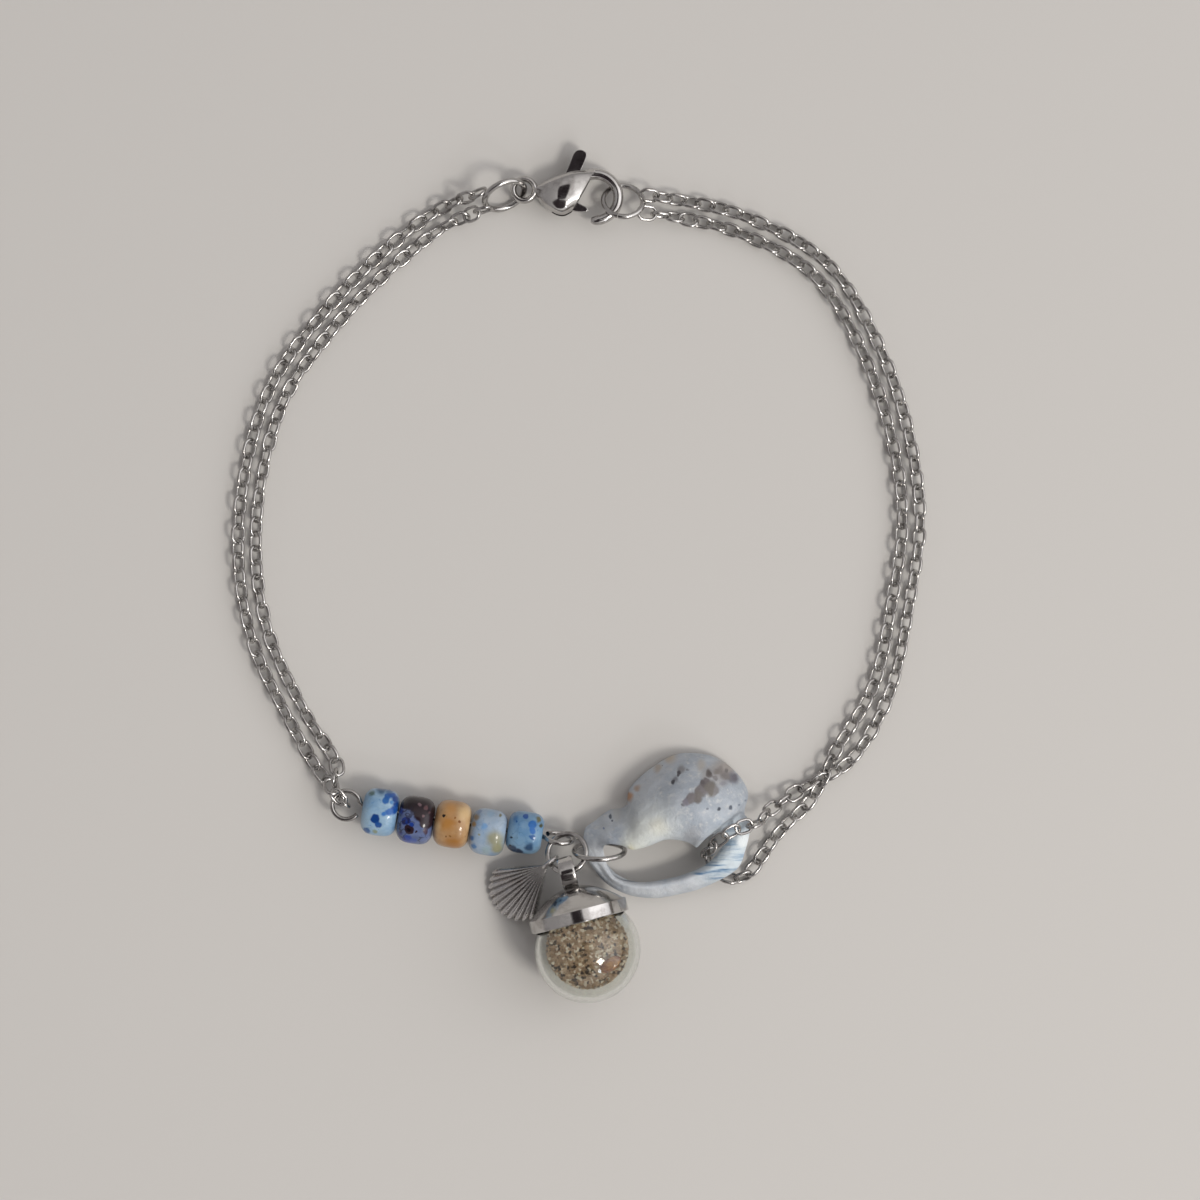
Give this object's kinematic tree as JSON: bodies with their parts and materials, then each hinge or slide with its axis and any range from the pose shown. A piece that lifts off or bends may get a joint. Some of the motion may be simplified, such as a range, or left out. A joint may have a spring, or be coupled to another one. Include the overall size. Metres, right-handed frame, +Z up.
{
  "type": "shell bracelet",
  "caption": "Closed chain bracelet with glazed beads, a worn sea shell, a fan charm and a small globe of sand, shut by a lobster clasp.",
  "frame": {"origin": "centre of the bounding box, on the surface that the bracelet lies on", "axes": "+X to the right of the picture, +Y towards the clasp, +Z up from the surface"},
  "size_m": [0.0628, 0.0768, 0.0095],
  "materials": {
    "polished_steel": "polished stainless steel",
    "brushed_steel": "worn stainless steel, darker in its grooves",
    "bead_1_glaze": "glossy ceramic glaze, pale blue with cobalt spots",
    "bead_2_glaze": "glossy ceramic glaze, lavender blue with a dark brown patch",
    "bead_3_glaze": "glossy ceramic glaze, honey tan with dark specks",
    "bead_4_glaze": "glossy ceramic glaze, pale blue with tan stains",
    "bead_5_glaze": "glossy ceramic glaze, sky blue with dark blue patches",
    "clear_glass": "clear blown glass",
    "beach_sand": "coarse tan sand",
    "amber_chip": "glossy amber-brown shell chip",
    "worn_shell": "beach-worn shell, grey-blue and cream with dark spots"
  },
  "bodies": {
    "bracelet": {"clasp_body": "polished_steel", "clasp_ring": "polished_steel", "catch_ring": "polished_steel", "charm_ring": "polished_steel", "shell_ring": "polished_steel", "bead_side_chain": "polished_steel", "shell_side_chain": "polished_steel", "eye_pin": "polished_steel", "bead_1": "bead_1_glaze", "bead_2": "bead_2_glaze", "bead_3": "bead_3_glaze", "bead_4": "bead_4_glaze", "bead_5": "bead_5_glaze", "scallop_charm": "brushed_steel", "globe_glass": "clear_glass", "globe_cap": "polished_steel", "sand_fill": "beach_sand", "shell_chip": "amber_chip", "shell_fragment": "worn_shell"},
    "clasp_lever": {"clasp_lever": "polished_steel"}
  },
  "joints": [
    {"name": "clasp_lever_hinge", "type": "hinge", "parent": "bracelet", "child": "clasp_lever", "pos_m": [-0.0012, 0.0344, 0.0015], "axis": [0, 0, 1], "range_deg": [0, 20], "stiffness_Nm_per_rad": 0.002, "springref_deg": -14.32}
  ]
}
